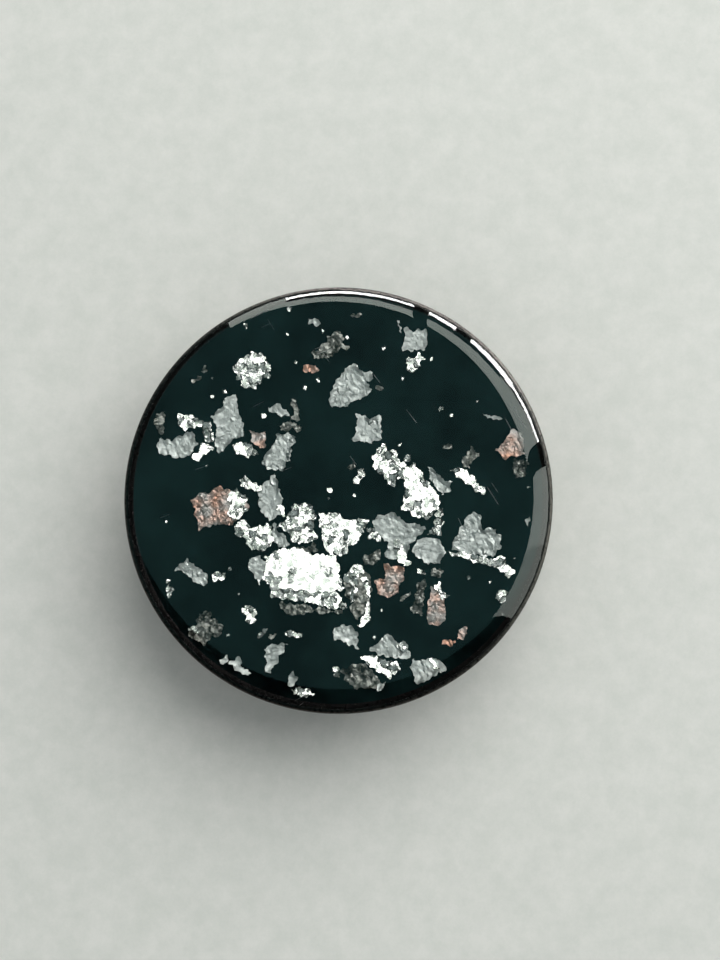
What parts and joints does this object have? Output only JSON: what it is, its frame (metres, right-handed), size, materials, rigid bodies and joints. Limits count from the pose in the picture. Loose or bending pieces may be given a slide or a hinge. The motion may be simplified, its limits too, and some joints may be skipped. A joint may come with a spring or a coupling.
{
  "type": "round badge pin",
  "caption": "Round domed badge pin: torn silver and copper leaf in clear resin over black enamel in a metal tray, held on cloth by sharp posts and butterfly clutches.",
  "frame": {"origin": "centre of the plane of the tray's back rim, which lies on the cloth", "axes": "+Z out of the decorated face, +X from the left post to the right post, +Y up the face; the posts point to -Z"},
  "size_m": [0.04, 0.04, 0.0128],
  "materials": {
    "black_plating": "black plated zinc casting, fine satin grain",
    "black_enamel": "gloss black epoxy enamel",
    "clear_resin": "clear self-levelled epoxy, high gloss",
    "silver_leaf": "torn crumpled silver-coloured leaf",
    "copper_leaf": "torn copper-rose leaf",
    "smoky_leaf": "leaf wetted dark by the resin over it",
    "post_steel": "nickel plated drawn wire, pointed",
    "solder": "bright flowed tin solder",
    "nickel_plate": "nickel plated pressed brass",
    "spring_brass": "bare hard-rolled spring brass strip"
  },
  "bodies": {
    "badge": {"tray": "black_plating", "enamel_base": "black_enamel", "resin_coat_lower": "clear_resin", "resin_coat_upper": "clear_resin", "leaf_smooth": "silver_leaf", "leaf_crumpled": "silver_leaf", "leaf_copper": "copper_leaf", "leaf_smoky": "smoky_leaf", "leaf_specks": "silver_leaf", "resin_dome": "clear_resin", "left_post": "post_steel", "left_solder_bead": "solder", "right_post": "post_steel", "right_solder_bead": "solder"},
    "left_clutch": {"left_clutch_cup": "nickel_plate", "left_spring_web": "spring_brass"},
    "left_fork_wing": {"left_fork_wing": "spring_brass"},
    "left_tongue_wing": {"left_tongue_wing": "spring_brass"},
    "right_clutch": {"right_clutch_cup": "nickel_plate", "right_spring_web": "spring_brass"},
    "right_fork_wing": {"right_fork_wing": "spring_brass"},
    "right_tongue_wing": {"right_tongue_wing": "spring_brass"}
  },
  "joints": [
    {"name": "left_clutch_slide", "type": "slide", "parent": "badge", "child": "left_clutch", "axis": [0, 0, -1], "range_m": [0, 0.01]},
    {"name": "left_fork_squeeze", "type": "hinge", "parent": "left_clutch", "child": "left_fork_wing", "pos_m": [-0.01, -0.0039, -0.0016], "axis": [-1, 0, 0], "range_deg": [0, 8], "stiffness_Nm_per_rad": 0.1},
    {"name": "left_tongue_squeeze", "type": "hinge", "parent": "left_clutch", "child": "left_tongue_wing", "pos_m": [-0.01, 0.0039, -0.0016], "axis": [1, 0, 0], "range_deg": [0, 8], "stiffness_Nm_per_rad": 0.1},
    {"name": "right_clutch_slide", "type": "slide", "parent": "badge", "child": "right_clutch", "axis": [0, 0, -1], "range_m": [0, 0.01]},
    {"name": "right_fork_squeeze", "type": "hinge", "parent": "right_clutch", "child": "right_fork_wing", "pos_m": [0.01, -0.0039, -0.0016], "axis": [-1, 0, 0], "range_deg": [0, 8], "stiffness_Nm_per_rad": 0.1},
    {"name": "right_tongue_squeeze", "type": "hinge", "parent": "right_clutch", "child": "right_tongue_wing", "pos_m": [0.01, 0.0039, -0.0016], "axis": [1, 0, 0], "range_deg": [0, 8], "stiffness_Nm_per_rad": 0.1}
  ],
  "couplings": [
    {"joint": "left_tongue_squeeze", "follows": "left_fork_squeeze", "ratio": 1},
    {"joint": "right_tongue_squeeze", "follows": "right_fork_squeeze", "ratio": 1}
  ]
}
